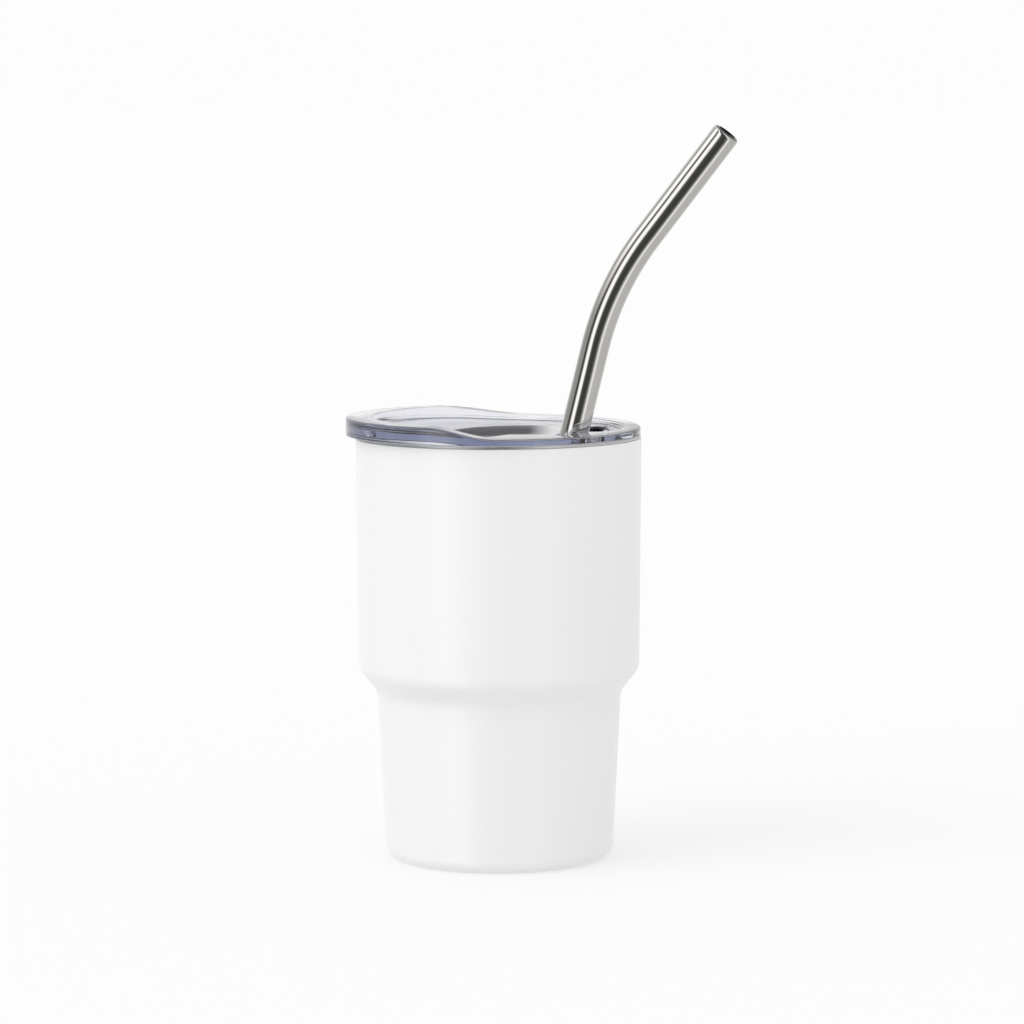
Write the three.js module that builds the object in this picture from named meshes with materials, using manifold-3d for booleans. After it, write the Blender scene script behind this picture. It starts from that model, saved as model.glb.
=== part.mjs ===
// Small insulated sipping cup: a stepped double-wall steel tumbler, a clear press-in lid with a
// wave-shaped flange and a silicone ring, and a bent steel straw that leans in the lid.
//
// Millimetres. The cup's axis is Z, Z is up, and the origin is the centre of the resting face.
// The lid's thick lip points to -X, and the straw leans to +X.

import * as THREE from 'three';
import { mergeVertices } from 'three/addons/utils/BufferGeometryUtils.js';
import Module from 'manifold-3d';

const wasm = await Module();
wasm.setup();

// ---- general ------------------------------------------------------------------------------
const TOUCH_GAP = 0.3; // between pieces that touch in the real cup
const ROUND_SIDES = 44; // sides of a full round
const SMALL_SIDES = 20; // sides of a small round
const ARC_STEPS = 3; // straight steps in a rounded corner
const SMALLEST_FILLET = 0.5; // left on a corner that a wall's offset would sharpen
const ZERO_AXIS = 0.001; // how close to the axis counts as on it

// ---- cup body -----------------------------------------------------------------------------
const CUP_HEIGHT = 89.4; // resting face to the top of the bare rim
const CUP_RADIUS = 30.0; // coated shell, at its top edge
const UPPER_DRAFT = 0.46; // upper wall's loss of radius, top edge to shoulder
const STEP_DEPTH = 3.86; // shoulder's loss of radius
const LOWER_DRAFT = 1.76; // lower wall's loss of radius, crease to resting face
const STEP_HEIGHT = 35.4; // crease between lower wall and shoulder
const SHOULDER_RISE = 4.6; // height of the shoulder
const FOOT_FILLET = 2.8;
const CREASE_FILLET = 4.5;
const SHOULDER_FILLET = 4.2;
const FOOT_TURN_IN = 5.3; // width of the shell's turned-in foot
const SHELL_WALL = 0.6;
const LIP_HEIGHT = 0.7; // bare steel lip above the shell
const LIP_SETBACK = 0.14; // lip's edge, in from the shell's

// ---- liner --------------------------------------------------------------------------------
const LINER_WALL = 0.5;
const VACUUM_GAP = 2.4; // between shell and liner
const FLOOR_HEIGHT = 6.4; // liner's inside floor
const FLOOR_FILLET = 4.0;
const RIM_WIDTH = 1.7; // shell's outside to the mouth's inside
const SEAT_BELOW_PLUG = 4.0; // mouth's straight seat, below the lid's plug
const SEAT_TAPER = 4.0; // height of the taper below the seat
const SEAT_FILLET = 5.0;

// ---- base ---------------------------------------------------------------------------------
const BASE_COVER_THICKNESS = 0.6;
const VACUUM_PLATE_THICKNESS = 0.6;
const DIMPLE_RADIUS = 4.0;
const DIMPLE_DEPTH = 1.0;
const EVACUATION_HOLE_RADIUS = 0.9;
const SEAL_BEAD_RADIUS = 2.4;
const SEAL_BEAD_HEIGHT = 0.7;
const GETTER_RADIUS = 3.2;
const GETTER_THICKNESS = 1.2;
const GETTER_FROM_DIMPLE = 2.0; // holder's edge to the dimple's
const HOLDER_WALL = 0.4;

// ---- lid ----------------------------------------------------------------------------------
const FLANGE_OVERHANG = 0.9; // flange radius beyond the shell's
const FLANGE_OFFSET = 1.1; // flange centre, towards the lip
const WAVE_TURN = THREE.MathUtils.degToRad(3.5); // lip's direction, turned back from -X
const LIP_THICKNESS = 3.55; // flange at the lip
const SIP_EDGE_THICKNESS = 1.4; // flange at the low edge
const WAVE_CENTRE = -6.0; // middle of the slope between them, along the lip's direction
const WAVE_LENGTH = 19.0;
const WAVE_STEPS = 12;
const RECESS_DEPTH_LOW = 0.8; // below the flange top at the low edge
const RECESS_DEPTH_HIGH = 2.1; // below the flange top at the lip
const RECESS_FROM_MOUTH = 1.95; // recess wall, in from the mouth
const LID_FLOOR = 1.3; // thickness of the recess floor
const PLUG_CLEARANCE = 1.0; // plug to mouth
const PLUG_DEPTH = 6.8; // below the flange
const PLUG_WALL = 2.1;
const GROOVE_DEPTH = 0.9;
const GROOVE_HEIGHT = 2.6;
const GROOVE_TOP = 2.1; // below the flange
const SIP_SLOT_WIDTH = 5.0;
const SIP_SLOT_LENGTH = 13.0;
const SIP_SLOT_INSET = 3.35; // slot's outer edge, in from the recess wall
const SIP_SLOT_SHIFT = 2.0; // slot's middle, away from the straw
const VENT_RADIUS = 1.0;
const VENT_INSET = 7.0; // vent's middle, in from the recess wall

// ---- straw --------------------------------------------------------------------------------
const STRAW_DIAMETER = 5.9;
const STRAW_WALL = 0.5;
const STRAW_SIDES = 16;
const STRAW_STEPS = 26;
const STRAW_PLAY = 0.2; // looseness in its hole, beyond the gap
const STRAW_INSET = 6.78; // entry point, in from the recess wall
const STRAW_BEARING = THREE.MathUtils.degToRad(-37.8); // entry point, from +X
const STRAW_TURN = THREE.MathUtils.degToRad(-14); // heading of its lean, from +X
const STRAW_LEAN = THREE.MathUtils.degToRad(13.95); // lower length, from upright
const STRAW_TIP_LEAN = THREE.MathUtils.degToRad(37.8); // mouth end, from upright
const STRAW_ABOVE_LID = 18.6; // straight length from the lid to the bend
const STRAW_BEND_RADIUS = 61.4;
const STRAW_MOUTH_LENGTH = 27.0; // straight length beyond the bend

// ---- levels and radii that follow from the sizes above -------------------------------------
const SHELL_TOP = CUP_HEIGHT - LIP_HEIGHT - TOUCH_GAP;
const SHOULDER_RADIUS = CUP_RADIUS - UPPER_DRAFT;
const STEP_RADIUS = SHOULDER_RADIUS - STEP_DEPTH;
const FOOT_RADIUS = STEP_RADIUS - LOWER_DRAFT;
const FOOT_OPENING = FOOT_RADIUS - FOOT_TURN_IN;
const LINER_OFFSET = SHELL_WALL + VACUUM_GAP + LINER_WALL;
const MOUTH_RADIUS = CUP_RADIUS - RIM_WIDTH;
const VACUUM_PLATE_RADIUS = FOOT_RADIUS - FOOT_FILLET;
const VACUUM_PLATE_BOTTOM = SHELL_WALL + TOUCH_GAP;
const HOLDER_BOTTOM = VACUUM_PLATE_BOTTOM + VACUUM_PLATE_THICKNESS + TOUCH_GAP;
const HOLDER_RADIUS = GETTER_RADIUS + TOUCH_GAP + HOLDER_WALL;
const GETTER_OFFSET = DIMPLE_RADIUS + DIMPLE_DEPTH + GETTER_FROM_DIMPLE + HOLDER_RADIUS;
const FLANGE_UNDERSIDE = CUP_HEIGHT + TOUCH_GAP;
const LIP_TOP = FLANGE_UNDERSIDE + LIP_THICKNESS;
const SIP_EDGE_TOP = FLANGE_UNDERSIDE + SIP_EDGE_THICKNESS;
const FLANGE_RADIUS = CUP_RADIUS + FLANGE_OVERHANG;
const RECESS_RADIUS = MOUTH_RADIUS - RECESS_FROM_MOUTH;
const RECESS_FLOOR_LOW = SIP_EDGE_TOP - RECESS_DEPTH_LOW;
const RECESS_FLOOR_HIGH = LIP_TOP - RECESS_DEPTH_HIGH;
const PLUG_RADIUS = MOUTH_RADIUS - PLUG_CLEARANCE;
const PLUG_BOTTOM = FLANGE_UNDERSIDE - PLUG_DEPTH;
const SEAT_BOTTOM = PLUG_BOTTOM - SEAT_BELOW_PLUG;
const GROOVE_CEILING = FLANGE_UNDERSIDE - GROOVE_TOP;
const GROOVE_FLOOR = GROOVE_CEILING - GROOVE_HEIGHT;
const STRAW_RADIUS = STRAW_DIAMETER / 2;
const CUTTER_REACH = 2 * FLANGE_RADIUS;

// ---- materials ----------------------------------------------------------------------------
function finish(color, roughness, metalness, opacity = 1) {
  return new THREE.MeshStandardMaterial({ color, roughness, metalness, opacity, transparent: opacity < 1 });
}

const FINISHES = {
  whiteCoat: finish(0xf4f4f3, 0.45, 0),
  brushedSteel: finish(0xb9b7b3, 0.3, 1),
  polishedSteel: finish(0xc9c6c1, 0.12, 1),
  clearPlastic: finish(0xd4d8ee, 0.06, 0, 0.35),
  silicone: finish(0xe6e8ea, 0.5, 0),
  sealingGlass: finish(0x5b6470, 0.3, 0),
  getterAlloy: finish(0x6e6a64, 0.7, 0.6),
};

// ---- outlines in the half plane (x = distance from the axis, y = height) --------------------
function corner(x, y, fillet = 0) {
  return { x, y, fillet };
}

function unit(from, to) {
  return new THREE.Vector2(to.x - from.x, to.y - from.y).normalize();
}

// Points of one corner: itself, or an arc that is tangent to both of its straight sides.
function cornerPoints(before, at, after) {
  if (!at.fillet) return [new THREE.Vector2(at.x, at.y)];
  const back = unit(at, before);
  const ahead = unit(at, after);
  const half = Math.acos(THREE.MathUtils.clamp(back.dot(ahead), -1, 1)) / 2;
  const tangent = at.fillet / Math.tan(half);
  const middle = back.clone().add(ahead).normalize();
  const centre = middle.multiplyScalar(at.fillet / Math.sin(half)).add(at);
  const start = back.multiplyScalar(tangent).add(at).sub(centre);
  const end = ahead.multiplyScalar(tangent).add(at).sub(centre);
  const sweep = Math.atan2(start.cross(end), start.dot(end));
  return Array.from({ length: ARC_STEPS + 1 }, (_, i) =>
    start.clone().rotateAround(new THREE.Vector2(), (sweep * i) / ARC_STEPS).add(centre));
}

function outlinePoints(corners) {
  return corners.flatMap((at, i) => {
    const ends = i === 0 || i === corners.length - 1;
    return ends ? [new THREE.Vector2(at.x, at.y)] : cornerPoints(corners[i - 1], at, corners[i + 1]);
  });
}

// Where the line through a along u meets the line through b along v.
function meet(a, u, b, v) {
  const t = ((b.x - a.x) * v.y - (b.y - a.y) * v.x) / u.cross(v);
  return corner(a.x + u.x * t, a.y + u.y * t);
}

// The outline moved to its left by a distance, with both ends cut along given directions. A corner
// that turns left loses the distance from its fillet, and one that turns right gains it.
function offsetCorners(corners, distance, startCut, endCut) {
  const last = corners.length - 1;
  const along = corners.slice(1).map((to, i) => unit(corners[i], to));
  const moved = along.map((u, i) => corner(corners[i].x - u.y * distance, corners[i].y + u.x * distance));
  return corners.map((at, i) => {
    if (i === 0) return meet(moved[0], along[0], at, startCut);
    const before = along[i - 1];
    if (i === last) return meet(moved[i - 1], before, at, endCut);
    const place = meet(moved[i - 1], before, moved[i], along[i]);
    const turn = Math.sign(before.cross(along[i]));
    const fillet = at.fillet && Math.max(at.fillet - turn * distance, SMALLEST_FILLET);
    return corner(place.x, place.y, fillet);
  });
}

const LEVEL_CUT = new THREE.Vector2(1, 0);
const UPRIGHT_CUT = new THREE.Vector2(0, 1);

// ---- solids -------------------------------------------------------------------------------
// A profile turned about Z. It closes on itself unless it starts and ends on the axis.
function turned(points, sides = ROUND_SIDES) {
  const profile = points.map((p) => new THREE.Vector2(p.x < ZERO_AXIS ? 0 : p.x, p.y));
  if (THREE.ShapeUtils.area(profile) < 0) profile.reverse();
  const onAxis = profile[0].x === 0;
  if (!onAxis) profile.push(profile[0].clone());
  return new THREE.LatheGeometry(profile, sides).rotateX(Math.PI / 2);
}

function ring(inner, outer, bottom, top, sides = ROUND_SIDES) {
  return turned([
    new THREE.Vector2(inner, bottom),
    new THREE.Vector2(outer, bottom),
    new THREE.Vector2(outer, top),
    new THREE.Vector2(inner, top),
  ], sides);
}

function disc(radius, bottom, top, sides = ROUND_SIDES) {
  return ring(0, radius, bottom, top, sides);
}

function toSolid(geometry) {
  const bare = geometry.clone();
  bare.deleteAttribute('normal');
  bare.deleteAttribute('uv');
  const merged = mergeVertices(bare, 1e-4);
  return new wasm.Manifold(new wasm.Mesh({
    numProp: 3,
    vertProperties: new Float32Array(merged.attributes.position.array),
    triVerts: new Uint32Array(merged.index.array),
  }));
}

function toGeometry(solid) {
  const mesh = solid.getMesh();
  const geometry = new THREE.BufferGeometry();
  geometry.setAttribute('position', new THREE.BufferAttribute(mesh.vertProperties, 3));
  geometry.setIndex(new THREE.BufferAttribute(mesh.triVerts, 1));
  geometry.computeVertexNormals();
  return geometry;
}

// ---- cup body -----------------------------------------------------------------------------
function shellCorners() {
  return [
    corner(FOOT_OPENING, 0),
    corner(FOOT_RADIUS, 0, FOOT_FILLET),
    corner(STEP_RADIUS, STEP_HEIGHT, CREASE_FILLET),
    corner(SHOULDER_RADIUS, STEP_HEIGHT + SHOULDER_RISE, SHOULDER_FILLET),
    corner(CUP_RADIUS, SHELL_TOP),
  ];
}

function outerShell() {
  const outside = shellCorners();
  const inside = offsetCorners(outside, SHELL_WALL, UPRIGHT_CUT, LEVEL_CUT);
  return turned([...outlinePoints(outside), ...outlinePoints(inside).reverse()]);
}

// Inside of the liner: flat floor, then the shell's own outline moved inwards, then the seat.
function linerInsideCorners() {
  const walls = offsetCorners(shellCorners(), LINER_OFFSET, UPRIGHT_CUT, LEVEL_CUT);
  const [, lowest, step, shoulder, top] = walls;
  const floorEdge = meet(lowest, unit(lowest, step), corner(0, FLOOR_HEIGHT), LEVEL_CUT);
  const taperLevel = corner(0, SEAT_BOTTOM - SEAT_TAPER);
  const taperStart = meet(shoulder, unit(shoulder, top), taperLevel, LEVEL_CUT);
  return [
    corner(0, FLOOR_HEIGHT),
    corner(floorEdge.x, floorEdge.y, FLOOR_FILLET),
    step,
    shoulder,
    corner(taperStart.x, taperStart.y, SEAT_FILLET),
    corner(MOUTH_RADIUS, SEAT_BOTTOM, SEAT_FILLET),
    corner(MOUTH_RADIUS, CUP_HEIGHT),
  ];
}

// The liner and its rolled lip, which covers the top edge of the shell.
function innerLiner() {
  const inside = linerInsideCorners();
  const outside = offsetCorners(inside, -LINER_WALL, UPRIGHT_CUT, LEVEL_CUT);
  const lipBottom = SHELL_TOP + TOUCH_GAP;
  const wallTop = outside[outside.length - 1];
  outside[outside.length - 1] = corner(wallTop.x, lipBottom);
  const lip = [lipBottom, CUP_HEIGHT].map((level) => new THREE.Vector2(CUP_RADIUS - LIP_SETBACK, level));
  return turned([...outlinePoints(outside), ...lip, ...outlinePoints(inside).reverse()]);
}

// ---- base ---------------------------------------------------------------------------------
function baseCover() {
  return disc(FOOT_OPENING - TOUCH_GAP, 0, BASE_COVER_THICKNESS);
}

// Closing plate on the turned-in foot, with a raised dimple round its evacuation hole.
function vacuumPlate() {
  const low = VACUUM_PLATE_BOTTOM;
  const under = [
    corner(EVACUATION_HOLE_RADIUS, low + DIMPLE_DEPTH),
    corner(DIMPLE_RADIUS, low + DIMPLE_DEPTH),
    corner(DIMPLE_RADIUS + DIMPLE_DEPTH, low),
    corner(VACUUM_PLATE_RADIUS, low),
  ];
  const over = offsetCorners(under, VACUUM_PLATE_THICKNESS, UPRIGHT_CUT, UPRIGHT_CUT);
  return turned([...outlinePoints(under), ...outlinePoints(over).reverse()]);
}

// Bead that closes the evacuation hole from below, as a shallow cap.
function sealBead() {
  const top = VACUUM_PLATE_BOTTOM + DIMPLE_DEPTH - TOUCH_GAP;
  const cap = Array.from({ length: ARC_STEPS + 1 }, (_, i) => {
    const angle = ((Math.PI / 2) * i) / ARC_STEPS;
    return new THREE.Vector2(SEAL_BEAD_RADIUS * Math.sin(angle), top - SEAL_BEAD_HEIGHT * Math.cos(angle));
  });
  return turned([...cap, new THREE.Vector2(0, top)], SMALL_SIDES);
}

// Small open cup on the plate that keeps the getter pellet in place.
function getterHolder() {
  const inner = HOLDER_RADIUS - HOLDER_WALL;
  const floorTop = HOLDER_BOTTOM + HOLDER_WALL;
  const top = floorTop + TOUCH_GAP + GETTER_THICKNESS;
  return turned([
    new THREE.Vector2(0, HOLDER_BOTTOM),
    new THREE.Vector2(HOLDER_RADIUS, HOLDER_BOTTOM),
    new THREE.Vector2(HOLDER_RADIUS, top),
    new THREE.Vector2(inner, top),
    new THREE.Vector2(inner, floorTop),
    new THREE.Vector2(0, floorTop),
  ], SMALL_SIDES);
}

function getterPellet() {
  const bottom = HOLDER_BOTTOM + HOLDER_WALL + TOUCH_GAP;
  return disc(GETTER_RADIUS, bottom, bottom + GETTER_THICKNESS, SMALL_SIDES);
}

// ---- lid ----------------------------------------------------------------------------------
// Everything below a surface that falls from a high level at the lip to a low level at the sip
// edge along half a cosine, and stays level across.
function belowWave(high, low) {
  const outline = new THREE.Shape();
  outline.moveTo(-CUTTER_REACH, 0);
  outline.lineTo(CUTTER_REACH, 0);
  outline.lineTo(CUTTER_REACH, low);
  for (let i = WAVE_STEPS; i >= 0; i -= 1) {
    const share = i / WAVE_STEPS;
    const fall = (1 - Math.cos(Math.PI * share)) / 2;
    outline.lineTo(WAVE_CENTRE + (share - 0.5) * WAVE_LENGTH, high + (low - high) * fall);
  }
  outline.lineTo(-CUTTER_REACH, high);
  const block = new THREE.ExtrudeGeometry(outline, { depth: 2 * CUTTER_REACH, bevelEnabled: false });
  block.rotateX(Math.PI / 2).translate(0, CUTTER_REACH, 0).rotateZ(-WAVE_TURN);
  return toSolid(block);
}

function flangeBlank() {
  const blank = disc(FLANGE_RADIUS, FLANGE_UNDERSIDE, LIP_TOP + LIP_THICKNESS);
  blank.translate(-FLANGE_OFFSET * Math.cos(WAVE_TURN), FLANGE_OFFSET * Math.sin(WAVE_TURN), 0);
  return toSolid(blank).intersect(belowWave(LIP_TOP, SIP_EDGE_TOP));
}

// A round cutter that stands on a wave-shaped floor.
function wellCutter(radius, floorHigh, floorLow) {
  const column = toSolid(disc(radius, PLUG_BOTTOM, LIP_TOP + LIP_THICKNESS));
  return column.subtract(belowWave(floorHigh, floorLow));
}

// A round cutter that ends under a wave-shaped ceiling.
function hollowCutter(radius, ceilingHigh, ceilingLow) {
  const column = toSolid(disc(radius, PLUG_BOTTOM - LID_FLOOR, LIP_TOP));
  return column.intersect(belowWave(ceilingHigh, ceilingLow));
}

function sipSlotCutter() {
  const radius = SIP_SLOT_WIDTH / 2;
  const reach = SIP_SLOT_LENGTH / 2 - radius;
  const outline = new THREE.Shape();
  const middle = RECESS_RADIUS - SIP_SLOT_INSET - radius;
  outline.absarc(middle, SIP_SLOT_SHIFT + reach, radius, 0, Math.PI);
  outline.absarc(middle, SIP_SLOT_SHIFT - reach, radius, Math.PI, 2 * Math.PI);
  const depth = LIP_TOP - PLUG_BOTTOM;
  const curveSegments = SMALL_SIDES / 2;
  const cutter = new THREE.ExtrudeGeometry(outline, { depth, curveSegments, bevelEnabled: false });
  return toSolid(cutter.translate(0, 0, PLUG_BOTTOM));
}

function roundHoleCutter(radius, x, y) {
  return toSolid(disc(radius, PLUG_BOTTOM, LIP_TOP, SMALL_SIDES).translate(x, y, 0));
}

// Point on the straw's lower axis at a drop below the top of the lid's floor.
function strawAxisBelowLid(drop) {
  const side = drop * Math.tan(STRAW_LEAN);
  const reach = RECESS_RADIUS - STRAW_INSET;
  return new THREE.Vector3(
    reach * Math.cos(STRAW_BEARING) - side * Math.cos(STRAW_TURN),
    reach * Math.sin(STRAW_BEARING) - side * Math.sin(STRAW_TURN),
    RECESS_FLOOR_LOW - drop,
  );
}

// Upright hole, wide enough for the leaning straw through the whole floor.
function strawHoleCutter() {
  const drop = LID_FLOOR / 2;
  const middle = strawAxisBelowLid(drop);
  const needed = STRAW_RADIUS / Math.cos(STRAW_LEAN) + drop * Math.tan(STRAW_LEAN);
  return roundHoleCutter(needed + TOUCH_GAP + STRAW_PLAY, middle.x, middle.y);
}

function lidBody() {
  const plug = toSolid(disc(PLUG_RADIUS, PLUG_BOTTOM, FLANGE_UNDERSIDE + SIP_EDGE_THICKNESS / 2));
  const hollowHigh = RECESS_FLOOR_HIGH - LID_FLOOR;
  const hollowLow = RECESS_FLOOR_LOW - LID_FLOOR;
  const groove = toSolid(ring(
    PLUG_RADIUS - GROOVE_DEPTH, PLUG_RADIUS + PLUG_CLEARANCE,
    GROOVE_FLOOR, GROOVE_CEILING,
  ));
  const lid = flangeBlank().add(plug)
    .subtract(wellCutter(RECESS_RADIUS, RECESS_FLOOR_HIGH, RECESS_FLOOR_LOW))
    .subtract(hollowCutter(PLUG_RADIUS - PLUG_WALL, hollowHigh, hollowLow))
    .subtract(groove)
    .subtract(sipSlotCutter())
    .subtract(strawHoleCutter())
    .subtract(roundHoleCutter(VENT_RADIUS, VENT_INSET - RECESS_RADIUS, 0));
  return toGeometry(lid);
}

// Silicone ring that fills the groove and bears on the mouth's seat.
function lidGasket() {
  return ring(
    PLUG_RADIUS - GROOVE_DEPTH + TOUCH_GAP, MOUTH_RADIUS - TOUCH_GAP,
    GROOVE_FLOOR + TOUCH_GAP, GROOVE_CEILING - TOUCH_GAP,
  );
}

// ---- straw --------------------------------------------------------------------------------
// Centre line in the straw's own plane: straight, one arc, straight. It starts at the foot, which
// stands just above the liner's floor, and passes the lid's floor at the entry point.
class StrawCentreLine extends THREE.Curve {
  constructor() {
    super();
    this.entry = strawAxisBelowLid(0);
    const footHeight = FLOOR_HEIGHT + TOUCH_GAP + STRAW_RADIUS * Math.sin(STRAW_LEAN);
    this.below = (RECESS_FLOOR_LOW - footHeight) / Math.cos(STRAW_LEAN);
    this.straight = this.below + STRAW_ABOVE_LID;
    this.bend = STRAW_BEND_RADIUS * (STRAW_TIP_LEAN - STRAW_LEAN);
    this.total = this.straight + this.bend + STRAW_MOUTH_LENGTH;
  }

  // Sideways and upward travel from the entry point after a run along the centre line.
  travel(run) {
    const onStraight = Math.min(run, this.straight) - this.below;
    const onBend = THREE.MathUtils.clamp(run - this.straight, 0, this.bend);
    const onMouth = Math.max(run - this.straight - this.bend, 0);
    const lean = STRAW_LEAN + onBend / STRAW_BEND_RADIUS;
    const side = onStraight * Math.sin(STRAW_LEAN) + onMouth * Math.sin(lean)
      + STRAW_BEND_RADIUS * (Math.cos(STRAW_LEAN) - Math.cos(lean));
    const rise = onStraight * Math.cos(STRAW_LEAN) + onMouth * Math.cos(lean)
      + STRAW_BEND_RADIUS * (Math.sin(lean) - Math.sin(STRAW_LEAN));
    return { side, rise };
  }

  getPoint(t, target = new THREE.Vector3()) {
    const { side, rise } = this.travel(t * this.total);
    return target.set(side * Math.cos(STRAW_TURN), side * Math.sin(STRAW_TURN), rise).add(this.entry);
  }
}

function straw() {
  const section = new THREE.Shape().absarc(0, 0, STRAW_RADIUS, 0, 2 * Math.PI);
  section.holes.push(new THREE.Path().absarc(0, 0, STRAW_RADIUS - STRAW_WALL, 0, 2 * Math.PI, true));
  return new THREE.ExtrudeGeometry(section, {
    extrudePath: new StrawCentreLine(),
    steps: STRAW_STEPS,
    curveSegments: STRAW_SIDES / 2,
  });
}

// ---- assembly -----------------------------------------------------------------------------
function piece(name, geometry, material) {
  const mesh = new THREE.Mesh(geometry, material);
  mesh.name = name;
  return mesh;
}

function cupBody() {
  const cup = new THREE.Group();
  const getter = new THREE.Group();
  getter.position.x = GETTER_OFFSET;
  getter.add(
    piece('getter_holder', getterHolder(), FINISHES.brushedSteel),
    piece('getter_pellet', getterPellet(), FINISHES.getterAlloy),
  );
  cup.add(
    piece('outer_shell', outerShell(), FINISHES.whiteCoat),
    piece('inner_liner', innerLiner(), FINISHES.brushedSteel),
    piece('vacuum_plate', vacuumPlate(), FINISHES.brushedSteel),
    piece('seal_bead', sealBead(), FINISHES.sealingGlass),
    piece('base_cover', baseCover(), FINISHES.brushedSteel),
    getter,
  );
  return cup;
}

function lidAndStraw() {
  const lid = new THREE.Group();
  lid.add(
    piece('lid_body', lidBody(), FINISHES.clearPlastic),
    piece('lid_gasket', lidGasket(), FINISHES.silicone),
    piece('straw', straw(), FINISHES.polishedSteel),
  );
  return lid;
}

const sippingCup = new THREE.Group();
sippingCup.add(cupBody(), lidAndStraw());

export default sippingCup;
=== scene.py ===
"""Looks of a small insulated sipping cup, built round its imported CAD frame.

The cup stands on Z = 0 with its axis on Z. The lid's thick lip points to -X and the straw leans
to +X. Every size is in metres.
"""
import logging
import math
from dataclasses import dataclass, field
from enum import Enum

import bpy
import numpy as np
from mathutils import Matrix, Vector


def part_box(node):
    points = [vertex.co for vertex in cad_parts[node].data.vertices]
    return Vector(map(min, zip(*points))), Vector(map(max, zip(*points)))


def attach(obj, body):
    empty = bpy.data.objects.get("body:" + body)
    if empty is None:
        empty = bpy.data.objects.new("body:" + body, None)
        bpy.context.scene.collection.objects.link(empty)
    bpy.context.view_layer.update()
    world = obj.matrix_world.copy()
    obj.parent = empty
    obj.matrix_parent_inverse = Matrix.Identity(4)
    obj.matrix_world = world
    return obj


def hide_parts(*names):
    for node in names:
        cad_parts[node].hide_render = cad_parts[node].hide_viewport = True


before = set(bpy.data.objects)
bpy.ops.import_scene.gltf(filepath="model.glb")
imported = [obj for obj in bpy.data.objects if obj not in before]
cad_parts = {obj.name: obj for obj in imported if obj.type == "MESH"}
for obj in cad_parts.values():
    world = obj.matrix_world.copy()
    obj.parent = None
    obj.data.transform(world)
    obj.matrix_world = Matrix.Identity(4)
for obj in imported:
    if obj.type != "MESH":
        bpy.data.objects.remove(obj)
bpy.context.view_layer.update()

LOG = logging.getLogger("sipping_cup")
MM = 0.001
FULL_TURN = 2 * math.pi
ROUND = 240  # columns of a large round
SMALL_ROUND = 72  # columns of a small round
SHARP_EDGE = math.radians(38)
UP = np.array([0.0, 0.0, 1.0])

Corner = tuple[float, float, float]


# ---- outlines -----------------------------------------------------------------------------
def unit(vector: np.ndarray) -> np.ndarray:
    """Returns the vector at length one."""
    return vector / np.linalg.norm(vector)


def fillet_arc(before: np.ndarray, at: np.ndarray, after: np.ndarray, radius: float,
               steps: int) -> np.ndarray:
    """Rounds one corner of an outline.

    The arc's ends lie radius / tan(half the corner's angle) along each side, and its middle lies
    radius / sin(half) along the corner's bisector. Its points turn evenly from one end to the other.

    Args:
        before: Outline point before the corner.
        at: The corner.
        after: Outline point after the corner.
        radius: Radius of the arc, or 0 for a sharp corner.
        steps: Straight steps in the arc.

    Returns:
        The points that stand for the corner, one per row.
    """
    if radius <= 0:
        return at[None]
    back, ahead = unit(before - at), unit(after - at)
    half = math.acos(float(np.clip(back @ ahead, -1, 1))) / 2
    middle = at + unit(back + ahead) * radius / math.sin(half)
    start = at + back * radius / math.tan(half) - middle
    end = at + ahead * radius / math.tan(half) - middle
    sweep = math.atan2(start[0] * end[1] - start[1] * end[0], float(start @ end))
    turn = np.linspace(0, sweep, steps + 1)
    across = np.array([-start[1], start[0]])
    return middle + np.cos(turn)[:, None] * start + np.sin(turn)[:, None] * across


def rounded(corners: list[Corner], steps: int = 8, closed: bool = False) -> np.ndarray:
    """Turns corners into a smooth outline in the half plane of distance and height.

    Args:
        corners: Each corner's distance from the axis, height and fillet radius.
        steps: Straight steps in each fillet.
        closed: Whether the last corner joins the first, so that both may be rounded.

    Returns:
        The outline's points, one (distance, height) per row.
    """
    table = np.array(corners, float)
    places, radii = table[:, :2], table[:, 2]
    rows = []
    for i, place in enumerate(places):
        end = not closed and i in (0, len(places) - 1)
        radius = 0.0 if end else radii[i]
        after = places[(i + 1) % len(places)]
        rows.append(fillet_arc(places[i - 1], place, after, radius, steps))
    return np.vstack(rows)


def meeting(a: np.ndarray, u: np.ndarray, b: np.ndarray, v: np.ndarray) -> np.ndarray:
    """Returns where the line through a along u meets the line through b along v."""
    gap = b - a
    return a + u * (gap[0] * v[1] - gap[1] * v[0]) / (u[0] * v[1] - u[1] * v[0])


def moved_inwards(corners: list[Corner], distance: float) -> list[Corner]:
    """Moves an outline that runs outwards and then up to its left, as the inside of a wall.

    Each side moves square to itself, each corner goes where its moved sides meet, and a fillet
    that turns left shrinks by the distance while one that turns right grows by it. The first
    corner keeps its distance from the axis and the last keeps its height.

    Args:
        corners: The wall's outside.
        distance: The wall's thickness.

    Returns:
        The corners of the wall's inside, in the same order.
    """
    places = [np.array(c[:2]) for c in corners]
    sides = [unit(b - a) for a, b in zip(places, places[1:])]
    moved = [p + distance * np.array([-u[1], u[0]]) for p, u in zip(places, sides)]
    first = meeting(moved[0], sides[0], places[0], np.array([0.0, 1.0]))
    last = meeting(moved[-1], sides[-1], places[-1], np.array([1.0, 0.0]))
    inside = [(*first, 0.0)]
    for i in range(1, len(places) - 1):
        u, v = sides[i - 1], sides[i]
        place = meeting(moved[i - 1], u, moved[i], v)
        turn = np.sign(u[0] * v[1] - u[1] * v[0])
        inside.append((*place, max(corners[i][2] - turn * distance, 0.3 * MM)))
    return [*inside, (*last, 0.0)]


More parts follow.
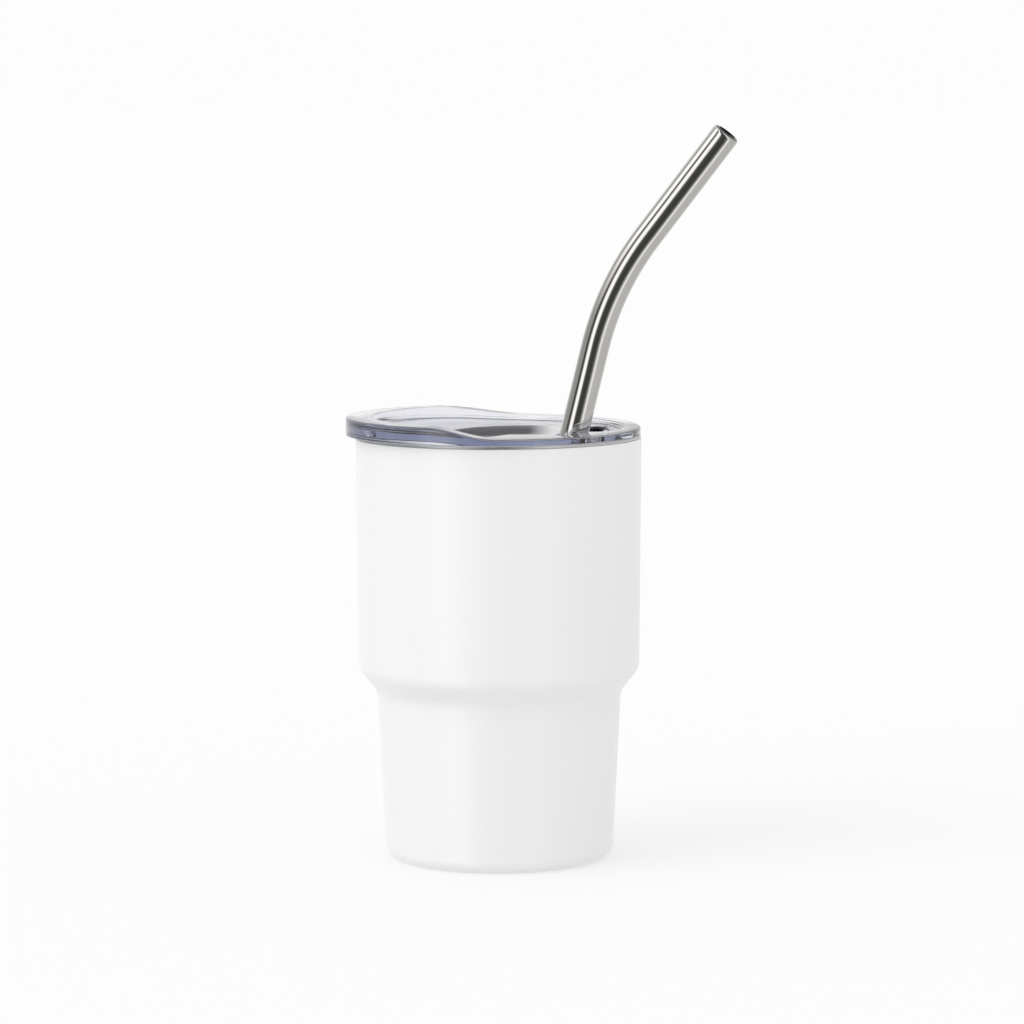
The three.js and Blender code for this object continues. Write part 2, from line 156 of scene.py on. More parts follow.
# ---- surfaces -----------------------------------------------------------------------------
@dataclass
class Surface:
    """A grid of points that closes round its columns, with a pole where a row shrinks to a point.

    Attributes:
        points: Rows along a profile, columns round it, and three coordinates.
        poles: Point before the first row and point after the last, or an empty tuple.
        grain: Three numbers per grid point that a finish reads as its pattern's place, or None.
    """

    points: np.ndarray
    poles: tuple[np.ndarray, ...] = ()
    grain: np.ndarray | None = None

    def quads(self) -> np.ndarray:
        """Returns four vertex numbers for each face of the grid, with the outside to their right.

        The rows join end to start where there are no poles.
        """
        rows, columns = self.points.shape[:2]
        i = np.arange(rows - 1 if self.poles else rows)[:, None]
        j = np.arange(columns)[None]
        after_i, after_j = (i + 1) % rows, (j + 1) % columns
        ring = [i * columns + j, i * columns + after_j, after_i * columns + after_j, after_i * columns + j]
        return np.stack(np.broadcast_arrays(*ring), -1).reshape(-1, 4)

    def fans(self) -> np.ndarray:
        """Returns three vertex numbers for each face that closes a pole."""
        if not self.poles:
            return np.empty((0, 3), int)
        rows, columns = self.points.shape[:2]
        j = np.arange(columns)
        after = (j + 1) % columns
        count = rows * columns
        last = (rows - 1) * columns
        first_fan = np.stack([np.full(columns, count), after, j], -1)
        last_fan = np.stack([np.full(columns, count + 1), last + j, last + after], -1)
        return np.vstack([first_fan, last_fan])

    def build(self, name: str) -> bpy.types.Object:
        """Makes the surface an object.

        Args:
            name: The object's and the mesh's name.

        Returns:
            A smooth-shaded object at the origin, with its place in its mesh.
        """
        vertices = np.vstack([self.points.reshape(-1, 3), *[np.reshape(p, (1, 3)) for p in self.poles]])
        quads, fans = self.quads(), self.fans()
        corners = np.concatenate([quads.ravel(), fans.ravel()])
        sizes = np.concatenate([np.full(len(quads), 4), np.full(len(fans), 3)])
        mesh = bpy.data.meshes.new(name)
        mesh.vertices.add(len(vertices))
        mesh.vertices.foreach_set("co", vertices.astype(np.float32).ravel())
        mesh.loops.add(len(corners))
        mesh.loops.foreach_set("vertex_index", corners.astype(np.int32))
        mesh.polygons.add(len(sizes))
        mesh.polygons.foreach_set("loop_start", (np.cumsum(sizes) - sizes).astype(np.int32))
        mesh.polygons.foreach_set("use_smooth", np.ones(len(sizes), bool))
        mesh.update(calc_edges=True)
        mesh.set_sharp_from_angle(angle=SHARP_EDGE)
        if self.grain is not None:
            layer = mesh.attributes.new("grain", "FLOAT_VECTOR", "POINT")
            layer.data.foreach_set("vector", self.grain.astype(np.float32).ravel())
        return make_object(name, mesh)


def make_object(name: str, data: bpy.types.ID | None) -> bpy.types.Object:
    """Makes an object at the origin and links it to the scene."""
    made = bpy.data.objects.new(name, data)
    bpy.context.scene.collection.objects.link(made)
    return made


def revolve(outline: np.ndarray, columns: int = ROUND, centre: tuple[float, float] = (0.0, 0.0),
            stretch: float = 0.0) -> Surface:
    """Turns an outline about an upright axis.

    A point at distance r and height z goes to (x + r cos a, y + r sin a, z) for even angles a. The
    half round with positive sin a is moved by the stretch along Y and the other half against it,
    which makes a round-ended slot of a circle.

    Args:
        outline: Points (distance, height), in any order of turning. It runs from the axis to the
            axis or closes on itself.
        columns: Steps round the axis.
        centre: The axis's place.
        stretch: Half the distance between a slot's two round ends.

    Returns:
        The surface, with its faces outwards.
    """
    on_axis = outline[0, 0] < 1e-9 and outline[-1, 0] < 1e-9
    r, z = outline[:, 0], outline[:, 1]
    area = float(np.sum(r * np.roll(z, -1) - np.roll(r, -1) * z))
    ordered = outline if area > 0 else outline[::-1]
    rings = ordered[1:-1] if on_axis else ordered
    angle = (np.arange(columns) + 0.5) * FULL_TURN / columns
    shift = stretch * np.sign(np.sin(angle))
    points = np.empty((len(rings), columns, 3))
    points[..., 0] = centre[0] + rings[:, :1] * np.cos(angle)
    points[..., 1] = centre[1] + rings[:, :1] * np.sin(angle) + shift
    points[..., 2] = rings[:, 1:]
    poles = tuple(np.array([*centre, ordered[k, 1]]) for k in (0, -1)) if on_axis else ()
    return Surface(points, poles)


def cut_away(piece: bpy.types.Object, cutters: list[bpy.types.Object]) -> None:
    """Takes the cutters' shapes out of a piece, and removes the cutters.

    Args:
        piece: The object that is cut.
        cutters: Closed objects.
    """
    for cutter in cutters:
        modifier = piece.modifiers.new(cutter.name, "BOOLEAN")
        modifier.operation, modifier.solver, modifier.object = "DIFFERENCE", "EXACT", cutter
    bpy.context.view_layer.update()
    cut = bpy.data.meshes.new_from_object(piece.evaluated_get(bpy.context.evaluated_depsgraph_get()))
    piece.modifiers.clear()
    piece.data = cut
    cut.name = piece.name
    cut.polygons.foreach_set("use_smooth", np.ones(len(cut.polygons), bool))
    cut.set_sharp_from_angle(angle=SHARP_EDGE)
    for cutter in cutters:
        bpy.data.objects.remove(cutter)


# ---- finishes -----------------------------------------------------------------------------
Colour = tuple[float, float, float]
Socket = bpy.types.NodeSocket
Source = Socket | float | Colour  # an output to link, or a plain value
FLAT = (1.0, 1.0, 0.0)  # factors that drop a vector's last number


class NodeSheet:
    """A new material's nodes, with short ways to add the ones that the finishes use."""

    def __init__(self, name: str) -> None:
        """Makes the material and finds its shader."""
        self.material = bpy.data.materials.new(name)
        self.material.use_nodes = True
        self.tree = self.material.node_tree
        self.shader = self.tree.nodes["Principled BSDF"]

    def add(self, kind: str, **values: object) -> bpy.types.Node:
        """Adds a node.

        Args:
            kind: Blender's name of the node type.
            **values: Values by property name, or by input name with _ for a space.

        Returns:
            The node.
        """
        node = self.tree.nodes.new(kind)
        for key, value in values.items():
            if hasattr(node, key):
                setattr(node, key, value)
            else:
                node.inputs[key.replace("_", " ")].default_value = value
        return node

    def join(self, source: Socket, target: Socket) -> None:
        """Links an output to an input."""
        self.tree.links.new(source, target)

    def set(self, **values: object) -> None:
        """Sets the shader's own inputs, by name with _ for a space."""
        for key, value in values.items():
            self.shader.inputs[key.replace("_", " ")].default_value = value

    def feed(self, node: bpy.types.Node, *sources: Source) -> bpy.types.Node:
        """Links outputs to a node's first inputs, or sets plain values there, and returns the node."""
        for source, target in zip(sources, node.inputs):
            if isinstance(source, Socket):
                self.join(source, target)
            else:
                target.default_value = source
        return node

    def number(self, operation: str, *sources: Source) -> Socket:
        """Returns what one of Blender's sums makes of numbers."""
        return self.feed(self.add("ShaderNodeMath", operation=operation), *sources).outputs["Value"]

    def vector(self, operation: str, *sources: Source) -> Socket:
        """Returns the vector that one of Blender's sums makes of vectors."""
        return self.feed(self.add("ShaderNodeVectorMath", operation=operation), *sources).outputs["Vector"]

    def length(self, source: Socket) -> Socket:
        """Returns a vector's length."""
        return self.feed(self.add("ShaderNodeVectorMath", operation="LENGTH"), source).outputs["Value"]

    def place(self) -> Socket:
        """Returns the piece's own coordinates in metres."""
        return self.add("ShaderNodeTexCoord").outputs["Object"]

    def grain(self) -> Socket:
        """Returns the piece's grain attribute."""
        return self.add("ShaderNodeAttribute", attribute_name="grain").outputs["Vector"]

    def share(self, source: Socket, start: float, end: float) -> Socket:
        """Returns 0 where the source is at or before the start and 1 at or after the end."""
        node = self.add("ShaderNodeMapRange", From_Min=start, From_Max=end)
        self.join(source, node.inputs["Value"])
        return node.outputs["Result"]

    def noise(self, source: Socket, scale: float, detail: float = 2.0) -> Socket:
        """Returns smooth noise from 0 to 1 at a place."""
        node = self.add("ShaderNodeTexNoise", Scale=scale, Detail=detail)
        self.join(source, node.inputs["Vector"])
        return node.outputs["Fac"]

    def ranged(self, source: Socket, low: float, high: float) -> Socket:
        """Returns noise from 0.25 to 0.75 carried to the range from low to high, and held there."""
        node = self.add("ShaderNodeMapRange", From_Min=0.25, From_Max=0.75, To_Min=low, To_Max=high)
        self.join(source, node.inputs["Value"])
        return node.outputs["Result"]

    def tinted(self, source: Socket, one: Socket | Colour, other: Socket | Colour) -> Socket:
        """Returns a colour between two, by a number from 0 to 1."""
        node = self.add("ShaderNodeMix", data_type="RGBA")
        self.join(source, node.inputs["Factor"])
        for end, colour in zip((s for s in node.inputs if s.type == "RGBA"), (one, other)):
            if isinstance(colour, Socket):
                self.join(colour, end)
            else:
                end.default_value = (*colour, 1.0)
        return next(s for s in node.outputs if s.type == "RGBA")

    def bump(self, height: Socket, depth: float,
             under: Socket | None = None) -> Socket:
        """Adds relief to the shader's normal.

        Args:
            height: Number from 0 to 1.
            depth: Depth in metres between 0 and 1.
            under: Normal that the relief stands on.

        Returns:
            The new normal, which the shader now uses.
        """
        node = self.add("ShaderNodeBump", Distance=depth)
        self.join(height, node.inputs["Height"])
        if under is not None:
            self.join(under, node.inputs["Normal"])
        self.join(node.outputs["Normal"], self.shader.inputs["Normal"])
        return node.outputs["Normal"]


@dataclass(frozen=True)
class Finish:
    """A finish that a piece can wear.

    Attributes:
        name: The material's name.
        slot: The record's material slot; not used.
    """

    name: str
    slot: str

    def material(self) -> bpy.types.Material:
        """Returns the material, made once."""
        return bpy.data.materials.get(self.name) or self.make(NodeSheet(self.name))

    def make(self, sheet: NodeSheet) -> bpy.types.Material:
        """Fills a new material's nodes and returns it."""
        raise NotImplementedError

    def wear(self, piece: bpy.types.Object) -> None:
        """Puts the finish on a piece."""
        piece.data.materials.clear()
        piece.data.materials.append(self.material())


@dataclass(frozen=True)
class PowderCoat(Finish):
    """Satin powder coat: a faint orange peel under a very fine grain."""

    colour: Colour = (0.825, 0.825, 0.822)
    shade: Colour = (0.81, 0.81, 0.807)
    roughness: tuple[float, float] = (0.29, 0.37)
    peel: float = 420.0
    peel_depth: float = 0.012 * MM
    grain: float = 2600.0
    grain_depth: float = 0.004 * MM

    def make(self, sheet: NodeSheet) -> bpy.types.Material:
        """Fills a new material's nodes and returns it."""
        place = sheet.place()
        peel = sheet.noise(place, self.peel, 3.0)
        grain = sheet.noise(place, self.grain, 1.0)
        sheet.join(sheet.tinted(peel, self.shade, self.colour), sheet.shader.inputs["Base Color"])
        sheet.join(sheet.ranged(grain, *self.roughness), sheet.shader.inputs["Roughness"])
        wavy = sheet.bump(peel, self.peel_depth)
        sheet.bump(grain, self.grain_depth, wavy)
        return sheet.material


class Lay(Enum):
    """Which way a steel piece's brush marks run."""

    ROUND = "rings round the axis"
    FACE = "rings on a flat face"
    LONG = "lines along the tube"


@dataclass(frozen=True)
class Steel(Finish):
    """Stainless steel with fine marks that run one way, and painted shade in a tube's bore."""

    lay: Lay = Lay.ROUND
    colour: Colour = (0.60, 0.59, 0.57)
    shade: Colour = (0.54, 0.53, 0.51)
    roughness: tuple[float, float] = (0.22, 0.34)
    marks: float = 4000.0
    depth: float = 0.0015 * MM
    spread: float = 0.0
    # Painted shade: a near-black colour that stands in for the shade inside a tube's bore.
    bore_shade: Colour = (0.04, 0.04, 0.04)

    def pattern_place(self, sheet: NodeSheet) -> Socket:
        """Returns coordinates that run fast across the marks and slowly along them."""
        if self.lay is Lay.LONG:
            return sheet.vector("MULTIPLY", sheet.grain(), (12.0, 12.0, 40.0))
        if self.lay is Lay.ROUND:
            return sheet.vector("MULTIPLY", sheet.place(), (30.0, 30.0, self.marks))
        distance = sheet.length(sheet.vector("MULTIPLY", sheet.place(), FLAT))
        rings = sheet.number("MULTIPLY", distance, self.marks)
        return sheet.feed(sheet.add("ShaderNodeCombineXYZ"), rings).outputs[0]

    def make(self, sheet: NodeSheet) -> bpy.types.Material:
        """Fills a new material's nodes and returns it."""
        marks = sheet.noise(self.pattern_place(sheet), 1.0, 4.0)
        cloud = sheet.noise(sheet.place(), 160.0, 2.0)
        tint = sheet.tinted(cloud, self.shade, self.colour)
        # A tube's inside gets painted shade in place of the steel tint.
        if self.lay is Lay.LONG:
            tint = self.paint_bore_shade(sheet, tint)
        sheet.join(tint, sheet.shader.inputs["Base Color"])
        sheet.join(sheet.ranged(marks, *self.roughness), sheet.shader.inputs["Roughness"])
        sheet.set(Metallic=1.0, Anisotropic=self.spread)
        if self.spread:
            sheet.join(self.across_marks(sheet), sheet.shader.inputs["Tangent"])
        sheet.bump(marks, self.depth)
        return sheet.material

    def across_marks(self, sheet: NodeSheet) -> Socket:
        """Returns the way across the marks: the surface's normal crossed with the way round the axis."""
        coordinates = sheet.add("ShaderNodeTexCoord").outputs
        around = sheet.vector("CROSS_PRODUCT", (0.0, 0.0, 1.0), coordinates["Object"])
        across = sheet.vector("CROSS_PRODUCT", coordinates["Normal"], around)
        turned = sheet.add("ShaderNodeVectorTransform", convert_from="OBJECT", convert_to="WORLD")
        return sheet.feed(turned, across).outputs[0]

    def paint_bore_shade(self, sheet: NodeSheet, tint: Socket) -> Socket:
        """Returns the tint outside a tube, and a painted shade for the bore inside it, where the grain has no
        turn.
        """
        outside = sheet.length(sheet.vector("MULTIPLY", sheet.grain(), FLAT))
        return sheet.tinted(outside, self.bore_shade, tint)


@dataclass(frozen=True)
class ClearPlastic(Finish):
    """Clear gloss plastic whose tint deepens with the way through it."""

    colour: Colour = (0.985, 0.985, 1.0)
    ior: float = 1.52
    absorbed: Colour = (0.13, 0.19, 0.44)
    density: float = 27.0
    ripple: float = 90.0
    ripple_depth: float = 0.006 * MM

    def make(self, sheet: NodeSheet) -> bpy.types.Material:
        """Fills a new material's nodes and returns it."""
        sheet.set(Base_Color=(*self.colour, 1.0), Transmission_Weight=1.0, IOR=self.ior, Roughness=0.02)
        inside = sheet.add("ShaderNodeVolumeAbsorption", Color=(*self.absorbed, 1.0), Density=self.density)
        sheet.join(inside.outputs[0], sheet.tree.nodes["Material Output"].inputs["Volume"])
        sheet.bump(sheet.noise(sheet.place(), self.ripple, 1.0), self.ripple_depth)
        return sheet.material


@dataclass(frozen=True)
class PlainBody(Finish):
    """Moulded, pressed or fused stuff of one colour with a fine uneven skin."""

    colour: Colour = (0.80, 0.81, 0.82)
    shade: Colour = (0.74, 0.75, 0.77)
    roughness: tuple[float, float] = (0.42, 0.55)
    metallic: float = 0.0
    softness: float = 0.0
    grain: float = 1800.0
    depth: float = 0.01 * MM

    def make(self, sheet: NodeSheet) -> bpy.types.Material:
        """Fills a new material's nodes and returns it."""
        grain = sheet.noise(sheet.place(), self.grain, 3.0)
        sheet.join(sheet.tinted(grain, self.shade, self.colour), sheet.shader.inputs["Base Color"])
        sheet.join(sheet.ranged(grain, *self.roughness), sheet.shader.inputs["Roughness"])
        sheet.set(Metallic=self.metallic, Subsurface_Weight=self.softness, Subsurface_Scale=1.5 * MM)
        sheet.bump(grain, self.depth)
        return sheet.material


WHITE_COAT = PowderCoat("white_powder_coat", "white_coat")
LINER_STEEL = Steel(
    "satin_steel_rings", "brushed_steel", Lay.ROUND,
    colour=(0.84, 0.845, 0.86), shade=(0.79, 0.795, 0.81), roughness=(0.48, 0.60), spread=0.75,
)
FACE_STEEL = Steel("spun_steel_face", "brushed_steel", Lay.FACE, marks=3000.0)
TUBE_STEEL = Steel(
    "drawn_steel_tube", "polished_steel", Lay.LONG,
    colour=(0.67, 0.66, 0.645), shade=(0.62, 0.61, 0.59), roughness=(0.03, 0.08), depth=0.0003 * MM,
)
CLEAR_PLASTIC = ClearPlastic("clear_blue_tinted_plastic", "clear_plastic")
SILICONE = PlainBody("clear_silicone", "silicone", softness=0.3)
SEALING_GLASS = PlainBody(
    "fused_sealing_glass", "sealing_glass", colour=(0.20, 0.24, 0.29), shade=(0.15, 0.18, 0.22),
    roughness=(0.12, 0.22),
)
PRESSED_POWDER = PlainBody(
    "pressed_getter_powder", "getter_alloy", colour=(0.34, 0.32, 0.30), shade=(0.24, 0.23, 0.22),
    roughness=(0.6, 0.8), metallic=0.7, depth=0.04 * MM,
)


def add_piece(surface: Surface, name: str, body: str, node: str, finish: Finish) -> bpy.types.Object:
    """Builds a surface as the visible piece of a CAD node.

    Args:
        surface: The piece's shape.
        name: The piece's name.
        body: The moving body that it rides on.
        node: The CAD node that it stands for.
        finish: What it wears.

    Returns:
        The piece.
    """
    return dress(surface.build(name), body, node, finish)


def dress(piece: bpy.types.Object, body: str, node: str, finish: Finish) -> bpy.types.Object:
    """Puts a finish on a piece, makes it ride on a body in place of a CAD node, and reports it."""
    finish.wear(piece)
    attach(piece, body)
    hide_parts(node)
    LOG.info("%s stands for %s on %s: %d faces", piece.name, node, body, len(piece.data.polygons))
    return piece


# ---- cup body -----------------------------------------------------------------------------
@dataclass
class CupBody:
    """Double-wall cup: coated shell, steel liner with its bare lip, and the closed base."""

    rim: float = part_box("inner_liner")[1][2]
    radius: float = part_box("outer_shell")[1][0]
    upper_draft: float = 0.46 * MM
    step_depth: float = 3.86 * MM
    lower_draft: float = 1.76 * MM
    step_height: float = 35.4 * MM
    shoulder_rise: float = 4.6 * MM
    foot_fillet: float = 2.8 * MM
    crease_fillet: float = 4.5 * MM
    shoulder_fillet: float = 4.2 * MM
    foot_turn_in: float = 5.3 * MM
    shell_wall: float = 0.6 * MM
    lip_height: float = 0.62 * MM
    lip_setback: float = 0.14 * MM
    liner_wall: float = 0.5 * MM
    vacuum_gap: float = 2.4 * MM
    floor: float = 6.4 * MM
    floor_fillet: float = 4.0 * MM
    rim_width: float = 1.7 * MM
    seat_depth: float = 10.5 * MM
    seat_room: float = 0.3 * MM
    seat_taper: float = 4.0 * MM
    seat_fillet: float = 5.0 * MM
    seam: float = 0.06 * MM

    def shell_corners(self) -> list[Corner]:
        """Returns the outside of the shell, from its foot's opening up to its top edge."""
        shoulder = self.radius - self.upper_draft
        step = shoulder - self.step_depth
        foot = step - self.lower_draft
        top = self.rim - self.lip_height - self.seam
        return [
            (foot - self.foot_turn_in, 0.0, 0.0),
            (foot, 0.0, self.foot_fillet),
            (step, self.step_height, self.crease_fillet),
            (shoulder, self.step_height + self.shoulder_rise, self.shoulder_fillet),
            (self.radius, top, 0.0),
        ]

    def shell(self) -> bpy.types.Object:
        """Builds the coated shell, with its cut edges softened by the coat."""
        edge = 0.18 * MM
        outside = self.shell_corners()
        inside = moved_inwards(outside, self.shell_wall)
        ring = [*outside, *reversed(inside)]
        ends = {0, len(outside) - 1, len(outside), len(ring) - 1}
        softened = [(r, z, edge if i in ends else fillet) for i, (r, z, fillet) in enumerate(ring)]
        outline = rounded(softened, 14, closed=True)
        return add_piece(revolve(outline), "shell", "cup", "outer_shell", WHITE_COAT)

    def liner_inside(self) -> list[Corner]:
        """Returns the inside of the liner, from the middle of its floor up to the rim."""
        offset = self.shell_wall + self.vacuum_gap + self.liner_wall
        walls = moved_inwards(self.shell_corners(), offset)
        lowest, step, shoulder, top = (np.array(c[:2]) for c in walls[1:])
        level = np.array([1.0, 0.0])
        mouth = self.radius - self.rim_width
        seat = self.rim - self.seat_depth - self.seat_room
        floor_edge = meeting(lowest, unit(step - lowest), np.array([0.0, self.floor]), level)
        taper = meeting(shoulder, unit(top - shoulder), np.array([0.0, seat - self.seat_taper]), level)
        return [
            (0.0, self.floor, 0.0),
            (*floor_edge, self.floor_fillet),
            walls[2],
            walls[3],
            (*taper, self.seat_fillet),
            (mouth, seat, self.seat_fillet),
            (mouth, self.rim, 0.0),
        ]

    def liner(self) -> bpy.types.Object:
        """Builds the liner and its bare lip, which is rolled over the shell's top edge."""
        inside = self.liner_inside()
        outside = moved_inwards(inside, -self.liner_wall)
        lip = self.radius - self.lip_setback
        lip_bottom = self.rim - self.lip_height
        roll = 0.38 * MM
        corners = [
            *outside[:-1],
            (outside[-1][0], lip_bottom, 0.1 * MM),
            (lip, lip_bottom, 0.12 * MM),
            (lip, self.rim, roll),
            (inside[-1][0], self.rim, roll),
            *reversed(inside[:-1]),
        ]
        surface = revolve(rounded(corners, 12))
        return add_piece(surface, "liner", "cup", "inner_liner", LINER_STEEL)

    def base_cover(self) -> bpy.types.Object:
        """Builds the base cover, flush with the shell's foot, with a pressed ring near its edge."""
        closer = 0.2 * MM
        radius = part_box("base_cover")[1][0] + closer
        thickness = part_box("base_cover")[1][2]
        ring, width, depth, bend = 0.86 * radius, 0.5 * MM, 0.2 * MM, 0.3 * MM
        corners = [
            (0.0, 0.0, 0.0),
            (ring - width, 0.0, bend),
            (ring - width / 2, depth, bend),
            (ring + width / 2, depth, bend),
            (ring + width, 0.0, bend),
            (radius, 0.0, 0.2 * MM),
            (radius, thickness, 0.1 * MM),
            (0.0, thickness, 0.0),
        ]
        return add_piece(revolve(rounded(corners, 6)), "base_disc", "cup", "base_cover", FACE_STEEL)

    def vacuum_plate(self) -> bpy.types.Object:
        """Builds the plate that closes the vacuum space, with its raised dimple and hole."""
        low, high = (corner[2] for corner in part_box("vacuum_plate"))
        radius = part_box("vacuum_plate")[1][0]
        dimple, rise, hole, wall = 4.0 * MM, 1.0 * MM, 0.9 * MM, 0.6 * MM
        corners = [
            (hole, low + rise, 0.1 * MM),
            (dimple, low + rise, 0.6 * MM),
            (dimple + rise, low, 0.8 * MM),
            (radius, low, 0.1 * MM),
            (radius, low + wall, 0.1 * MM),
            (dimple + rise + wall / 2, low + wall, 0.6 * MM),
            (dimple + wall / 2, high, 0.8 * MM),
            (hole, high, 0.1 * MM),
        ]
        outline = rounded(corners, 5, closed=True)
        return add_piece(revolve(outline), "closing_plate", "cup", "vacuum_plate", FACE_STEEL)

    def seal_bead(self) -> bpy.types.Object:
        """Builds the bead of sealing glass, whose underside is a shallow quarter-ellipse dome."""
        low, high = (corner[2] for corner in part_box("seal_bead"))
        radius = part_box("seal_bead")[1][0]
        angle = np.linspace(0, math.pi / 2, 12)
        dome = np.stack([radius * np.sin(angle), high - (high - low) * np.cos(angle)], -1)
        surface = revolve(np.vstack([dome, [[0.0, high]]]), SMALL_ROUND)
        return add_piece(surface, "bead", "cup", "seal_bead", SEALING_GLASS)

    def getter(self) -> None:
        """Builds the getter's holder and its pellet, off the axis in the vacuum space."""
        (left, _, low), (right, _, high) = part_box("getter_holder")
        centre, outer = ((left + right) / 2, 0.0), (right - left) / 2
        wall, edge = 0.4 * MM, 0.12 * MM
        holder = [
            (0.0, low, 0.0), (outer, low, 0.5 * MM), (outer, high, edge), (outer - wall, high, edge),
            (outer - wall, low + wall, 0.3 * MM), (0.0, low + wall, 0.0),
        ]
        surface = revolve(rounded(holder, 5), SMALL_ROUND, centre)
        add_piece(surface, "pellet_holder", "cup", "getter_holder", LINER_STEEL)
        (left, _, low), (right, _, high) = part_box("getter_pellet")
        radius = (right - left) / 2
        pellet = [(0.0, low, 0.0), (radius, low, edge), (radius, high, 2 * edge), (0.0, high, 0.0)]
        surface = revolve(rounded(pellet, 5), SMALL_ROUND, centre)
        add_piece(surface, "pellet", "cup", "getter_pellet", PRESSED_POWDER)

    def build(self) -> None:
        """Builds every piece of the cup body."""
        self.shell()
        self.liner()
        self.base_cover()
        self.vacuum_plate()
        self.seal_bead()
        self.getter()


# ---- lid ----------------------------------------------------------------------------------
@dataclass
class Wave:
    """A level that falls from the lip to the sip edge along half a cosine.

    Attributes:
        high: Level at the lip, on the cup's X axis.
        low: Level at the sip edge, on the cup's X axis.
        high_tilt: Rise per metre towards +Y at the lip.
        low_tilt: Rise per metre towards +Y at the sip edge.
        centre: Middle of the slope along X, where Y is 0.
        centre_drift: How much the middle moves per metre towards +Y.
        half_length: Half the slope's length, where Y is 0.
        half_length_drift: How much that grows per metre towards +Y.
    """

    high: float
    low: float
    high_tilt: float = 0.006
    low_tilt: float = 0.010
    centre: float = -6.0 * MM
    centre_drift: float = 0.06
    half_length: float = 9.6 * MM
    half_length_drift: float = 0.08

    def at(self, x: np.ndarray, y: np.ndarray) -> np.ndarray:
        """Returns the level over each place.

        The share of the fall is (1 - cos(pi t)) / 2, where t runs from 0 to 1 over the slope. The
        slope's middle and length both change evenly with Y, so it is short in front and long behind.
        """
        middle = self.centre + self.centre_drift * y
        half = self.half_length + self.half_length_drift * y
        share = np.clip((x - middle + half) / (2 * half), 0, 1)
        fall = (1 - np.cos(math.pi * share)) / 2
        high = self.high + self.high_tilt * y
        low = self.low + self.low_tilt * y
        return high + (low - high) * fall


